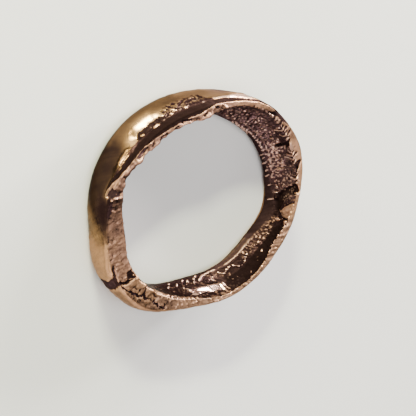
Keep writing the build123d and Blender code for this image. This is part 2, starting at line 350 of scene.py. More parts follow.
# Marks on the skin
# A mark runs along a few places on the skin: its angle round the ring and its place across the
# section in turn. The whole number across is the strip's place in STRIPS, from 0, and the fraction
# is how far over it. Width and depth are in millimetres, and a negative depth raises a ridge or a
# bead. Dark is how much tarnish lies along it, and a negative one rubs tarnish away.
Mark = namedtuple("Mark", "width depth dark places")
MARKS = rows(Mark, (
    # the shoulder leans in above the polished wall
    (0.8, 0.3, 0, 126.5, 1.96, 133, 1.95, 139.5, 1.96),
    (1.15, -0.32, 0, 127, 1.58, 132, 1.52, 136, 1.54),
    *((0.8, -0.06, 0, a, 1.3, 122, 1.27, 133, 1.22, 140, 1.28, 148, 1.34) for a in (84, 93, 102, 111)),
    # a thin raised edge along the top, and the channel behind the lip under it
    (0.14, -0.05, -1, 92, 2.6, 86, 2.5, 79, 2.4, 72, 2.3, 66, 2.1),
    (0.5, -0.13, 0, 72, 1.8, 80, 1.95),
    (0.3, 0.2, 0, 66, 2.9, 74, 3, 82, 3.1),
    (0.22, 0.16, 0.6, 94, 3.3, 84, 3.3, 76, 3.3, 68, 3.2, 60, 3.1),
    # a raised, rubbed line along the crest of the front ridge
    (0.22, -0.14, -0.6, 100, 4.8, 108, 4.92, 118, 4.98, 128, 4.98, 138, 4.92, 146, 4.7, 154, 4.5,
     160, 4.2),
    # a glossy swelling along the foot of the bottom wall
    (0.6, -0.36, -0.2, 269, 5.6, 280, 5.58, 290.5, 5.54),
    (0.5, 0.16, 0, 272, 5.15, 281, 5.12, 290, 5.08),
    # the torn hollow between the left wall and the broad face, and what leads into it
    (0.13, -0.14, -1, 219.6, 4.96, 220.8, 5.02),
    (0.07, -0.12, -1, 216.4, 4.86, 217.2, 4.9),
    (0.07, -0.12, -1, 214.4, 4.4, 214.9, 4.52),
    (0.22, -0.09, -0.6, 197.5, 2.9, 202.5, 2.6, 206.5, 2.4, 210, 2.2),
    # the broad face: its facets end in short cracks
    (0.1, 0.14, 0.6, 216.5, 3.95, 219, 4.05, 221.5, 4.12, 224, 4.25),
    (0.12, 0.18, 0.7, 224.6, 4.2, 226.4, 4.33, 228, 4.28, 229.8, 4.4),
    (0.1, 0.1, 0.45, 230, 4.38, 229.8, 4.55, 229, 4.78, 228, 4.95),
    (0.13, 0.2, 0.7, 230.8, 4.52, 232.2, 4.4, 233.6, 4.36),
    (0.07, 0.08, 0.3, 233.5, 4.42, 235.5, 4.48, 238.5, 4.36),
    (0.13, 0.2, 0.8, 238.2, 4.44, 239.6, 4.34, 241.2, 4.36, 242.4, 4.24),
    (0.1, 0.16, 0.7, 242.4, 4.24, 244.4, 4.22, 246.2, 4.08),
    (0.08, 0.1, 0.4, 245.2, 4.46, 246.4, 4.25, 247, 4.02),
    (0.12, 0.06, 0.15, 234.5, 4.82, 237.5, 4.66, 240.5, 4.78),
    (0.12, 0.05, 0.12, 221.5, 4.4, 225, 4.58, 227.5, 4.52),
    (0.16, -0.12, -0.7, 231.5, 4.92, 234, 4.96),
    (0.12, -0.1, -0.7, 242, 4.9, 243.6, 4.94),
    # the front ridge: small holes, and the curls at its top end and its lower end
    (0.14, 0.18, 1, 133.4, 4.84, 131, 4.76, 128.4, 4.84),
    (0.15, 0.2, 1, 117.2, 4.62, 114.2, 4.56, 112.4, 4.66),
    (0.12, 0.16, 1, 123, 4.88, 120.8, 4.8),
    (0.11, 0.14, 0.9, 103.6, 4.72, 101.6, 4.58),
    (0.11, 0.12, 0.8, 108.6, 4.86, 107, 4.8),
    (0.1, 0.12, 0.8, 138.4, 4.72, 137.2, 4.6),
    (0.09, 0.1, 0.5, 156.6, 4.7, 154.2, 4.8),
    (0.12, 0.18, 0.9, 96.2, 4.2, 94.2, 4.4),
    (0.1, -0.1, -0.8, 98.2, 4.8, 97.4, 4.36, 94.8, 4.06, 91.8, 4.14, 89.2, 4.5, 87.4, 4.9),
    (0.08, 0.1, 0.6, 92.2, 4.56, 90.6, 4.74),
    (0.09, -0.08, -0.5, 172, 2.9, 171.4, 2.4, 169, 2.4, 166, 2.9, 161, 3.6, 157, 3.95),
    *((0.08, -0.12, -1, a, c, a - 0.2, c + 0.06)
      for a, c in ((172.6, 4.06), (171.2, 4.34), (170.3, 4.7))),
    (0.08, -0.08, -0.8, 177.4, 4.28, 178, 4.42),
    # the gap between the left wall and the rough front face
    (0.14, -0.08, -0.2, 197.5, 3.6, 203.5, 3.6, 207, 3.3),
    # the top lip: its knot, the notch and the teeth on the right
    (0.15, 0.2, 0.9, 58.5, 4.9, 55.5, 4.66, 52.6, 4.5),
    (0.1, -0.12, -0.6, 56.6, 4.96, 54.2, 4.9),
    (0.06, 0.14, 0.8, 37.6, 5.06, 36.8, 4.6),
    (0.06, 0.14, 0.8, 28, 5.14, 27.2, 4.66),
    (0.06, 0.13, 0.8, 25.8, 5.14, 25, 4.74),
    (0.06, 0.13, 0.8, 23.6, 5.14, 23, 4.82),
    (0.06, 0.12, 0.8, 21.6, 5.14, 21.2, 4.86),
    # the slanting cut, the dark scallop with its curled edge, the tongue and its knots
    (0.12, 0.2, 1, 12.6, 5.16, 14.6, 4.8, 16.8, 4.6),
    (0.06, -0.1, -1, 361.7, 4.86, 361.3, 5.06, 360.6, 5.24),
    (0.09, -0.1, -1, 367, 4.9, 368.4, 4.96),
    (0.1, -0.14, -0.8, 9.6, 5.12, 10.8, 4.84, 9, 4.7),
    (0.12, 0.24, 1, 344.6, 5.5, 345.8, 5.06, 344.6, 4.84),
    (0.08, 0.16, 1, 343, 4.98, 342.6, 4.66),
    # the serrated inner edge of the lip, lower right
    (0.09, 0.16, 1, 340.2, 5.08, 339.6, 4.86),
    (0.07, 0.12, 0.9, 336.6, 5.06, 336, 4.8),
    (0.09, 0.14, 1, 333.2, 5.08, 332.8, 4.84),
    (0.07, 0.12, 0.9, 329.6, 5.06, 329.2, 4.82),
    (0.08, 0.12, 0.9, 326.4, 5.06, 325.8, 4.86),
    (0.07, 0.1, 0.9, 322.8, 5.06, 322.6, 4.88),
    (0.08, 0.1, 0.9, 318.6, 5.06, 318.2, 4.86),
    # ledges and long ridges at the foot of the sunken wall, and crumbs there and on the bottom wall
    (0.03, -0.035, -0.1, 321, 6.2, 313, 6.16, 305, 6.14, 296, 6.16),
    (0.09, -0.14, -1, 293.5, 6.2, 290, 6.18, 286, 6.08, 283, 5.98, 280.6, 5.9),
    (0.038, -0.09, -0.9, 317, 5.9, 314, 5.85, 311.5, 5.78, 309, 5.77, 307, 5.79, 306, 5.86, 304.5, 5.92,
     302, 5.94, 299, 5.9, 297.5, 5.84, 296, 5.87, 294, 5.96),
    (0.1, 0.1, 0.8, 318, 6.04, 311, 6.02, 304, 6.03, 298, 6.03),
    *((0.08, -0.13, -1, a, c, a + 0.7, c + 0.05)
      for a, c in ((257.4, 5.86), (259.4, 6.02), (264.4, 5.9), (269.4, 6.02), (276.2, 5.84),
                   (277.4, 5.97), (279.4, 6.12), (267, 5.72), (272.6, 5.94))),
    *((0.05, -0.08, -0.42, a, c, a + 0.5, c - 0.04)
      for a, c in ((298.5, 5.6), (300.2, 5.44), (301.6, 5.56), (303, 5.4), (316.6, 5.52), (318, 5.6))),
    (0.07, -0.1, -1, 290.2, 5.2, 289.6, 5.55),
    (0.06, -0.08, -0.8, 292.4, 5.22, 291.8, 5.56),
    # slanting strokes over the crest on the right
    *((0.08, -0.12, -0.9, a, 6.08, a - lean, end)
      for a, lean, end in ((353.5, 1.8, 6.5), (2, 1, 6.3), (8.6, 2, 6.46), (12.4, 1.6, 6.34),
                           (17.8, 2.2, 6.52), (21.6, 1.4, 6.3), (24.2, 2, 6.5))),
    # ragged bites in the inner edge of the top lip
    *((0.085, 0.06, 0.7, a, 5.06, a + lean, top)
      for a, lean, top in ((58.6, 1, 4.92), (62, -0.8, 4.86), (65.2, 1.2, 4.95), (68.4, 0.6, 4.84),
                           (71.6, -0.6, 4.93), (75, 1, 4.86), (78.2, 0.8, 4.94), (82, -0.8, 4.85),
                           (85.6, 0.8, 4.93), (89, 0.6, 4.88))),
    # separate beads along the crest with a dark line below them, and slanting strokes over it
    *((0.085, -0.15, -1, a, c + 0.06, a + 0.3, c + 0.09)
      for a, c in ((27, 5.95), (29.3, 5.94), (31.3, 5.96), (33.8, 5.94), (35.8, 5.96), (38.3, 5.95),
                   (40.2, 5.96), (42.9, 5.94), (45.2, 5.96), (47.6, 5.95), (50, 5.97), (52.6, 5.95),
                   (55.4, 5.97), (57.8, 5.96), (60.8, 5.98))),
    (0.08, 0.12, 1, 50, 5.94, 42, 5.94, 36, 5.93, 30, 5.93, 25, 5.93),
    *((width, -0.08, -0.9, a, 6.12, a - lean, end)
      for width, a, lean, end in ((0.12, 47.5, 5, 6.5), (0.09, 50.2, 3.6, 6.36), (0.13, 52.2, 5.4, 6.52),
                                  (0.08, 55.8, 4, 6.3), (0.12, 57.6, 5.2, 6.5), (0.1, 61.6, 3.4, 6.4))),
    # dark cuts in the lip's inner edge from the top to the right, and bright teeth between them
    *((0.1, 0.12, 0.8, a + 1.6, 4.88, a, 5.24) for a in (45.4, 48.2, 50.6, 53.4, 56.2, 59.4)),
    *((0.1, 0.16, 1, a + lean, c, a + 0.5 * lean, 4.95, a, end)
      for a, lean, c, end in ((8.2, 2, 4.8, 5.16), (10.6, 2.6, 4.7, 5.24), (20.4, 1.6, 4.8, 5.3),
                              (22.6, 2.8, 4.5, 5.2), (25.2, 2, 4.7, 5.34), (36.2, 3, 4.3, 5.1),
                              (38.4, 2, 4.6, 5.2), (39.8, 2.8, 4.36, 5.06), (42.4, 2.2, 4.62, 5.18),
                              (44, 3.2, 4.48, 5.04))),
    *((0.1, -0.1, -1, a + lean, 4.85, a, end)
      for a, lean, end in ((9.4, 1.6, 5.3), (21.5, 1.2, 5.42), (23.6, 2, 5.3), (26.4, 1, 5.2),
                           (37.6, 1.4, 5.26), (41, 2, 5.36), (43.4, 1.2, 5.2))),
    # granules that stand out on the bottom wall and along its lip, and dark nicks between them
    (0.11, -0.12, -1, 254.6, 5.3, 255.4, 5.34),
    (0.12, -0.12, -0.9, 273, 5.44, 274.2, 5.4),
    (0.1, -0.1, -0.8, 261.4, 5.16, 262.2, 5.18),
    (0.1, -0.12, -0.9, 322.4, 5.6, 323.2, 5.62),
    (0.09, -0.12, -0.9, 308.6, 5.3, 309.4, 5.34),
    *((0.08, -0.12, -1, a, c, a + 0.5, c + 0.03)
      for a, c in ((244.6, 5.02), (246.2, 5.1), (248.6, 5.04), (250.2, 5.14), (252.4, 5.03), (254, 5.1),
                   (256.6, 5.04), (258.4, 5.12), (260.6, 5.05), (263.6, 5.08), (266.8, 5.04),
                   (270.4, 5.1))),
    *((0.07, 0.08, 0.8, a, 5, a + 0.4, 5.1)
      for a in (245.4, 247.4, 249.4, 251.4, 253.2, 255.4, 257.6, 259.6, 262, 265.2, 268.6)),
    # gold beads and dark holes in the pitted patch
    (0.17, -0.2, -1.2, 129.8, 2.84, 127.6, 2.94),
    (0.1, -0.08, -0.8, 137.4, 2.3, 136.4, 2.44),
    (0.17, -0.18, -1, 116.6, 2, 115.4, 2.3),
    (0.12, -0.14, -1, 109.8, 2.64, 109.2, 2.7),
    (0.11, -0.12, -0.9, 118.6, 2.5, 117.8, 2.6),
    (0.18, 0.12, 0.9, 134, 2.7, 129.6, 2.5, 125.6, 2.3),
    (0.14, 0.14, 0.9, 120.4, 2.2, 118.8, 2.12),
    (0.14, 0.14, 0.9, 113, 2.1, 111, 1.9, 108, 1.8),
    (0.12, 0.1, 0.8, 106, 1.96, 103, 1.86, 100.5, 1.94),
))
# Areas of the skin
# An area is a patch with a clear outline, through places like a mark's: a hollow, a facet or bare
# metal. Soft is the width of its edge and depth is how far it sinks, both in millimetres. Calm is
# the share of the textures under it that is smoothed away, and finish says how its stains change.
Area = namedtuple("Area", "soft depth calm finish places")
BARE = dict(patina=-1, shade=-0.6)
BLACK = dict(patina=1, rose=-0.8, crumbs=-0.8, high=-0.7, dull=0.8, umber=-0.8)
AREAS = rows(Area, (
    # the polished wall beside the pitted patch, and a painted dark reflection, dark brown, over the left
    # wall
    (0.5, 0, 1, dict(patina=-1, polish=1, dull=0.3),
     116, 1.2, 147, 1.2, 146, 1.7, 144, 2.25, 142, 2.15, 140, 1.97, 123, 1.97, 120, 1.7),
    (1.5, 0, 0.6, dict(shade=0.96, polish=0.6),
     145, 0.9, 173, 0.9, 179, 1.3, 184.5, 1.6, 188.5, 1.9, 191, 2.4, 193.5, 3.9, 172, 3.4, 171, 2.3,
     165, 2.8, 160, 3.1, 152, 2.8, 147.5, 2.2, 146, 1.6),
    # the dark channel behind the front ridge, the main highlight on the shoulder whitened with painted
    # paleness and less painted shade, and the pitted patch above the channel
    (0.12, 0.06, 0.75, dict(patina=1, rose=-1, filed=-1, high=-0.9, dull=1, umber=0.1),
     92, 2.9, 98, 2.85, 110, 3, 124, 2.95, 137, 2.95, 142, 2.7, 147, 3.05, 158, 2.95, 163, 2.45, 168, 2.1,
     170, 2.1, 167, 2.5, 165, 2.75, 163, 3.3, 161, 3.75, 158, 3.95, 148, 3.95, 144, 3.9, 141.5, 4.05,
     140, 4.2, 135, 4.4, 130, 4.5, 122, 4.6, 117, 4.5, 112, 4.45, 107, 4.42, 102, 4.3, 98, 4.12, 95, 3.98,
     92, 3.93),
    (0.5, 0, 0, dict(pale=0.2, shade=-0.6),
     126, 1.85, 130, 1.72, 136, 1.72, 138, 1.85, 137, 1.97, 126, 1.97),
    (0.14, 0.05, 0, dict(patina=0.85, rose=-1, dull=0.8, umber=0.05),
     124, 1.92, 138, 1.9, 140.5, 2.1, 140, 2.6, 126, 2.9, 121, 2.2),
    (0.5, 0.22, 0, dict(umber=-1),
     97, 3.8, 108, 3.8, 124, 3.8, 139, 3.8, 140, 4.1, 135, 4.3, 130, 4.38, 122, 4.45, 117, 4.38,
     112, 4.34, 107, 4.3, 102, 4.2, 98, 4),
    # bare polished metal on the shoulder above the ridge where the kicker lamp's highlight falls, with the
    # painted shade lifted round it
    (0.6, 0, 0, dict(shade=-0.45), 147, 2.5, 152.5, 2.35, 157, 2.5, 160, 2.8, 154, 2.9, 148, 2.85),
    (0.16, 0, 0.8, dict(patina=-1, shade=-0.9, polish=1, rose=-1),
     149.5, 2.64, 152.5, 2.55, 156, 2.64, 158, 2.8, 154, 2.83, 150.5, 2.78),
    # the ridge's hole, the curl at its lower end and the hollow under the curl
    (0.12, 0.2, 0.5, dict(patina=1, high=-0.8, umber=0.3),
     140.5, 4.35, 142.5, 4.14, 147, 4.16, 149, 4.36, 148, 4.62, 143.5, 4.66),
    (0.2, -0.04, 0.2, dict(patina=-1, shade=-0.2, rose=1, filed=1),
     160, 4, 163, 3.3, 165, 2.75, 168, 2.5, 170.5, 2.2, 172.5, 2.3, 172.6, 2.9, 171, 2.6, 168.5, 2.9,
     167, 3.4, 166.6, 4.8, 163, 4.9, 160, 4.6),
    (0.25, 0.12, 0.3, dict(patina=0.6, shade=0.8, umber=0.4, dull=0.8),
     167, 3.4, 168.5, 2.9, 171, 2.7, 171.8, 3.2, 171.4, 4.1, 170, 4.6, 167.4, 4.8),
    # painted shade in the gap under the left wall, and the tones of the rough front face below it
    (1.2, 0.08, 0.3, dict(shade_film=1, patina=0.2, polish=-0.6, rose=-1, dull=0.6),
     172.5, 1.8, 180, 1.75, 185, 2, 188, 2.6, 190, 3.4, 190.5, 3.95, 186, 3.95, 180, 3.9, 176, 3.9,
     173.2, 3.9),
    (0.6, 0, 0, dict(shade=0.42, patina=0.14, rose=1),
     180, 4.1, 186, 4.1, 190, 4.3, 190.5, 4.85, 181, 4.9, 180.5, 4.5),
    (0.8, 0, 0, dict(shade=0.4, patina=0.2),
     222, 1.7, 240, 2.2, 248, 3.2, 245, 4.3, 224, 4.3, 220.5, 2.8),
    # the long tear between the left wall and the broad face
    (0.45, 0.32, 0.3, dict(patina=0.95, high=-0.5, umber=0.25, rose=-0.5),
     217.5, 1.72, 220.6, 1.72, 219.8, 1.9, 218, 2.6, 217, 3.6, 215.5, 4.05, 212, 3.95, 209, 4.08,
     205.8, 4.1, 208, 3.8, 211, 3.2, 212.8, 2.5, 214.3, 1.9),
    (0.25, 0, 0.3, dict(patina=0.95, high=-0.5, umber=0.25, rose=-0.5, dull=0.5),
     217.6, 1, 223.4, 1.1, 221.6, 1.6, 219.8, 1.95, 214.6, 1.95, 215.8, 1.5),
    (0.25, 0.16, 0.3, BLACK, 212.6, 4.6, 216.5, 4.5, 219.4, 4.98, 213, 4.98),
    (0.2, 0.2, 0.3, BLACK, 214.2, 4.05, 216.8, 4.05, 218.4, 4.3, 218.3, 4.75, 217, 4.6, 216.4, 4.3),
    # behind the top: a painted darker reflection where the wall turns away, the dark channel, and paler
    # metal painted in to whiten the edge lamp's highlight
    (0.9, 0, 0, dict(shade_film=0.85, dull=0.9, umber=1),
     48, 0.6, 90, 0.6, 86, 1.45, 78, 1.7, 69, 1.85, 62, 2.1, 48, 2.1),
    (0.14, 0.04, 0.5, dict(patina=1, dull=0.9, umber=0.12, high=-0.8),
     56, 2.9, 64, 2.5, 72, 2.6, 84, 2.7, 94, 2.8, 96, 3.9, 84, 3.9, 70, 3.95, 56, 3.9),
    (0.14, 0, 0.9, dict(patina=-1, shade=-1, polish=1, crumbs=1, shade_film=-1, dull=-0.8, pale=0.9),
     64, 1.78, 69, 1.85, 76, 1.93, 84, 2.1, 92, 2.35, 92, 2.6, 84, 2.55, 76, 2.5, 70, 2.35, 65.5, 2),
    # the top lip: a dark facet at its outer edge, the V-shaped notch and the slanting cut
    (0.2, 0.06, 0.5, dict(shade=0.85, patina=0.6, dull=0.8, umber=0.3, shade_film=0.5),
     41.5, 4, 46, 4.3, 50, 4.45, 56, 4.55, 55, 4.2, 53.5, 3.9, 50, 3.5, 42, 3.5),
    (0.1, 0.34, 0.3, BLACK,
     27.2, 5.7, 28.5, 5.35, 31.5, 5, 33.6, 4.7, 35, 4.55, 36, 4.75, 34.5, 5.05, 31, 5.35, 29.2, 5.7),
    (0.14, 0.16, 0.2, dict(patina=0.7),
     14, 4.95, 15.5, 4.6, 17.5, 4.4, 19.8, 4.08, 21, 4.2, 20.6, 4.6, 20, 4.95, 18, 5.1),
    # the dark scallop on the right, and the tongue and knot beside it
    (0.12, 0.42, 0.5, BLACK,
     346, 5.92, 349.5, 5.8, 353, 5.67, 356.5, 5.52, 359, 5.32, 360.6, 5.08, 361.4, 4.75, 361.6, 4.4,
     362.8, 4.05, 364.6, 4.3, 366.6, 4.7, 367.6, 5, 366, 5.22, 363.5, 5.42, 361, 5.62, 358, 5.82,
     352.5, 5.99, 347, 6),
    (0.08, -0.1, 0, dict(patina=-1, crumbs=-1, shade=-0.3, filed=1),
     342, 4.98, 355, 4.96, 355.8, 5.1, 353.6, 5.32, 350.8, 5.54, 348.2, 5.72, 346.2, 5.6, 344.6, 5.3,
     343, 5.1),
    (0.3, -0.04, 0, dict(patina=-0.45, shade=0.4, crumbs=-1),
     354.6, 4.94, 359.6, 4.86, 358.4, 5.16, 355, 5.42, 351.4, 5.6),
    (0.08, -0.18, 0.2, BARE, 342.4, 5.6, 344, 5.55, 344.4, 5.8, 343, 5.88, 342, 5.75),
    # the crest on the right stays dark between its pale strokes
    (0.15, 0, 0.3, dict(high=-0.9, patina=0.95, umber=0.25, dull=0.4),
     350, 6.04, 30, 6.03, 76, 6.03, 76, 6.75, 350, 6.75),
    # the inner wall: a rosy granular stretch, a smooth one and the black one of the sunken wall
    (0.3, 0, 0, dict(patina=-0.3, rose=1, pale=-1, shade=0.3), 12, 5.6, 25, 5.6, 26, 5.95, 13, 5.98),
    (0.3, 0, 0.6, dict(crumbs=-1), 29, 5.08, 52, 5.08, 54, 5.36, 34, 5.42, 29, 5.4),
    (0.14, 0, 0.2, dict(patina=1, crumbs=-0.9, rose=-0.5, high=-0.5, dull=0.95, umber=0.06),
     292, 5.02, 340, 5.04, 341, 5.6, 338, 5.75, 320, 5.76, 306, 5.7, 292, 5.76),
    # the bottom wall: streaked bare metal below the lip, and on the glossy swelling along its foot paler
    # metal painted in to whiten the side lamp's highlight
    (0.9, 0, 0, dict(patina=-0.12, dull=-1, shade=0.45),
     240, 5, 292, 5, 291, 5.22, 286, 5.4, 276, 5.45, 266, 5.5, 258, 5.4, 250, 5.25),
    (0.2, 0, 0.9, dict(patina=-1, shade=-1, polish=1, pale=0.9, shade_film=-1),
     268, 5.38, 272, 5.55, 285, 5.57, 290, 5.55, 290.4, 5.3, 287, 5.36, 276, 5.4, 272, 5.34),
))


# Textures of the skin
def lumps(points, brush, along):
    return clouds(points)


def grains(points, brush, along):
    spots = [noise.voronoi(Vector(p)) for p in points]
    near = np.array([distances[0] for distances, _ in spots])
    tall = np.array([noise.cell(places[0] * 9.7) for _, places in spots])
    return np.exp(-(near / 0.36) ** 2) * (0.35 + 1.1 * tall) - 0.35


def pits(points, brush, along):
    return -smooth(field(points), 0.05, 0.45)


def creases(points, brush, along):
    return smooth(np.abs(field(points)), 0.0, 0.18) - 1.0


def facets(points, brush, along):
    slant = Vector((0.5, -0.6, 0.6))
    return 1.4 * np.array([(Vector(p) - noise.voronoi(Vector(p))[1][0]).dot(slant) for p in points])


def streaks(points, brush, along):
    return 1.6 * field(brush)


def ripples(points, brush, along):
    sway = field(points, 0.5)
    return np.sin(2.0 * np.pi * (along + 0.5 * sway)) * (0.75 + sway)


def beads(points, brush, along):
    sway = field(points, 0.6)
    return np.abs(np.sin(np.pi * (along + 0.45 * sway))) ** 0.8 - 0.6 + 0.5 * sway


# A texture covers a stretch of the skin, from start to end round the ring and from low to high
# across the section, with relief of one kind, its depth and the size of its grains in millimetres.
Texture = namedtuple("Texture", "kind start end low high depth grain")
TEXTURES = [Texture(*row) for row in (
    # slow unevenness of the hand-made form, all round
    (lumps, 0, 359.9, 0, 7, 0.05, 2.8),
    (lumps, 0, 359.9, 2.4, 7, 0.02, 1.1),
    # the pitted patch above the ridge
    (pits, 102, 121, 1.74, 2.9, 0.07, 0.4),
    (pits, 120, 141, 1.96, 2.9, 0.07, 0.42),
    (grains, 106, 120, 1.9, 2.9, 0.03, 0.4),
    # the lumpy front ridge
    (lumps, 88, 172, 4.2, 5.05, 0.22, 1.1),
    (grains, 92, 170, 4.1, 4.95, 0.022, 0.4),
    # the left front face, rough and then finely rough down to the broad one, and the wall behind it
    (grains, 168, 205, 3.8, 5, 0.055, 0.46),
    (facets, 168, 212, 3.8, 5, 0.03, 0.8),
    (grains, 192, 252, 3.9, 5, 0.035, 0.32),
    (lumps, 192, 252, 3.9, 5, 0.06, 0.6),
    (facets, 214, 246, 3.95, 5, 0.07, 1),
    (streaks, 172, 250, 0.9, 3.9, 0.02, 0.4),
    (lumps, 195, 250, 1.2, 3.6, 0.01, 0.5),
    # fine streaks everywhere, and the facets, streaks and knots of the lip
    (streaks, 0, 359.9, 0, 7, 0.012, 0.5),
    (streaks, 36, 58, 3.95, 5.1, 0.035, 0.34),
    (streaks, 345, 70, 4.7, 5.6, 0.08, 0.46),
    (streaks, 240, 345, 5, 5.8, 0.06, 0.44),
    (lumps, 58, 94, 4.2, 5, 0.09, 0.8),
    (facets, 14, 34, 4.5, 5.2, 0.06, 0.55),
    (lumps, 354, 12, 4.4, 5.4, 0.05, 0.6),
    (streaks, 344, 357, 5, 5.7, 0.06, 0.4),
    (grains, 245, 345, 4, 5.05, 0.1, 0.32),
    (streaks, 252, 345, 4, 5.05, 0.07, 0.34),
    (lumps, 245, 345, 3.9, 5, 0.03, 0.7),
    # the inner wall: a granular casting skin, coarser on the right and below, and beads at its edge
    (grains, 0, 359.9, 5.06, 6.05, 0.05, 0.44),
    (grains, 345, 75, 5.4, 6.05, 0.12, 0.36),
    (lumps, 345, 75, 5.12, 6, 0.08, 0.55),
    (lumps, 345, 75, 5.12, 6, 0.04, 1.2),
    (creases, 20, 62, 5.1, 5.5, 0.08, 0.8),
    (lumps, 298, 345, 5.25, 5.94, 0.13, 0.85),
    (grains, 252, 300, 5.06, 5.8, 0.05, 0.42),
    (beads, 252, 282, 4.96, 5.12, 0.08, 0.62),
    # the rippled and grainy crest beside the sunken wall
    (ripples, 316, 346, 5.84, 6.1, 0.04, 0.38),
    (grains, 312, 348, 5.8, 6.12, 0.18, 0.34),
)]
# Stains, wear, and painted shade, reflections and highlights: how much of each finish lies on a stretch of
# the skin, laid on in this order.
# A negative strength takes a share of what is there away again.
Stain = namedtuple("Stain", "start end low high soft fade strength")
STAINS = {
    # polished metal: the outer wall and the back strip, less on the front face and the raw crest
    "polish": (
        (0, 359.9, 0.8, 2.3, 0.3, 2, 1), (0, 359.9, 6.2, 7, 0.15, 2, 0.7),
        (198, 250, 0.8, 3.9, 0.2, 8, -0.8), (60, 108, 0.7, 1.9, 0.3, 10, -0.6),
        (345, 70, 5.9, 6.9, 0.1, 3, -1), (245, 350, 6.05, 6.6, 0.1, 4, -1),
    ),
    # filed metal: the lip all round and the front face down to the broad one
    "filed": (
        (0, 359.9, 3.95, 5.03, 0.06, 2, 1), (186, 250, 0.9, 4.2, 0.2, 8, 0.9),
    ),
    # soft brown shade: painted darker reflections all over the outer wall, darkest on the left and lifted
    # where the lamps' highlights fall; brown tarnish on the lip's facets, the rough front face, the ridge
    # and the back strip; darker again in the sunken wall
    "shade": (
        (0, 359.9, 0, 2.6, 0.3, 2, 0.62), (200, 250, 0.7, 4.2, 0.3, 8, -0.6),
        (126, 141, 1.7, 2.4, 0.25, 6, -0.45), (28, 56, 1, 3.85, 0.2, 4, 0.75),
        (84, 112, 1.6, 2.6, 0.3, 8, 0.5), (112, 156, 0.8, 1.62, 0.3, 8, 0.6),
        (36, 60, 3.9, 5.05, 0.2, 4, 0.48), (60, 96, 3.95, 5.05, 0.2, 4, -0.1),
        (171, 181, 4, 5, 0.15, 3, 0.5), (180, 190, 4, 5, 0.15, 8, 0.4), (192, 250, 3.9, 5, 0.15, 5, 0.46),
        (300, 345, 3.9, 5, 0.15, 5, 0.16), (92, 174, 4, 5.2, 0.2, 4, 0.66),
        (142, 160, 4, 5.2, 0.2, 8, 0.55), (236, 345, 4, 5, 0.1, 8, 0.15),
        (0, 359.9, 6.1, 7, 0.1, 2, 0.92), (352, 68, 6.04, 6.6, 0.1, 3, -0.9),
        (298, 346, 5.12, 5.92, 0.08, 6, 0.8),
    ),
    # black-brown casting skin in the pitted patch and all over the inner wall; the same near-black lies
    # behind the ridge
    "patina": (
        (176, 250, 4, 5, 0.1, 5, 0.16), (50, 172, 2.45, 3.97, 0.14, 4, 1),
        (97, 122, 1.8, 2.9, 0.25, 4, 0.5), (118, 138, 2.25, 2.9, 0.15, 4, 0.5),
        (168, 178, 3.25, 4.06, 0.25, 5, 0.95), (0, 359.9, 5.05, 6.04, 0.05, 2, 1),
        (355, 6, 4.92, 5.9, 0.05, 1.5, 1), (352, 75, 6, 6.55, 0.2, 6, 0.8),
        (8, 30, 5.5, 6.02, 0.14, 5, -0.42), (256, 296, 5.08, 5.34, 0.08, 5, -0.25),
        (100, 250, 5.2, 6.04, 0.2, 8, -0.25), (240, 300, 6.02, 6.9, 0.08, 4, 0.9),
        (300, 326, 6.02, 6.9, 0.08, 4, 0.44), (326, 352, 6.02, 6.9, 0.08, 4, 0.95),
        (240, 264, 5, 5.2, 0.1, 8, -0.7), (264, 290, 5, 5.14, 0.1, 4, -0.45),
    ),
    # bright crumbs that were rubbed clean on the casting skin
    "crumbs": (
        (358, 75, 4.98, 6.06, 0.06, 5, 1), (40, 75, 5.05, 5.4, 0.1, 6, -0.6),
        (250, 300, 5.06, 5.9, 0.1, 5, 0.28), (314, 343, 5.84, 6.14, 0.06, 3, 0.6),
        (100, 130, 2, 2.8, 0.15, 4, 0.3), (240, 345, 4, 4.96, 0.1, 6, 0.35),
        (100, 250, 5.2, 6.04, 0.1, 8, 0.6),
    ),
    # rosy metal: the ridge, the top of the rough front face and the bottom wall
    "rose": (
        (86, 174, 4, 5.2, 0.1, 4, 1), (174, 214, 4, 5.05, 0.1, 6, 0.7), (0, 86, 4.2, 5.05, 0.2, 8, 0.45),
        (345, 75, 5.05, 6.1, 0.1, 8, 0.25), (245, 350, 5.05, 6.6, 0.1, 6, 0.8),
    ),
    # matte: behind the top, on the crest and beside the sunken wall
    "dull": (
        (52, 98, 2.9, 3.97, 0.2, 3, 1), (30, 96, 0.7, 1.9, 0.3, 10, 0.9),
        (296, 352, 6.1, 6.9, 0.08, 4, 0.85), (296, 318, 6.16, 6.9, 0.08, 6, -0.6),
        (314, 350, 5.8, 6.14, 0.06, 4, 0.3), (294, 316, 5.6, 6.04, 0.06, 3, 0.6),
    ),
    # paler and browner casting skin, and the brown of the painted darker reflection on the outer wall behind
    # the top
    "umber": (
        (30, 88, 0.7, 1.9, 0.3, 6, 1), (52, 98, 2.9, 3.97, 0.2, 3, 0.15),
        (240, 352, 6.1, 6.9, 0.08, 4, 0.35), (292, 324, 6.16, 6.9, 0.08, 6, 0.6),
        (358, 76, 5.06, 6.1, 0.12, 5, 0.75), (268, 294, 5.56, 5.76, 0.06, 3, 0.45),
    ),
    # painted shade and painted darker reflections: an even matte cover that hides the metal under it
    "shade_film": (
        (30, 96, 0.7, 1.7, 0.3, 14, 0.35), (172, 186, 3, 3.96, 0.14, 5, 0.8),
    ),
    # painted highlights and sheen: paler metal on the crest and on the inner wall
    "pale": (
        (345, 75, 5.9, 6.8, 0.1, 4, 0.9), (10, 60, 4.7, 5.5, 0.1, 4, 0.5),
        (255, 324, 5.3, 6.6, 0.1, 4, 0.6),
    ),
}
LAYERS = (*STAINS, "high", "deep")


def lay_on(layer, cover):
    """A layer after a cover is laid on it, or taken away where the cover is negative."""
    return np.where(cover > 0, layer + cover * (1.0 - layer), layer * (1.0 + cover))


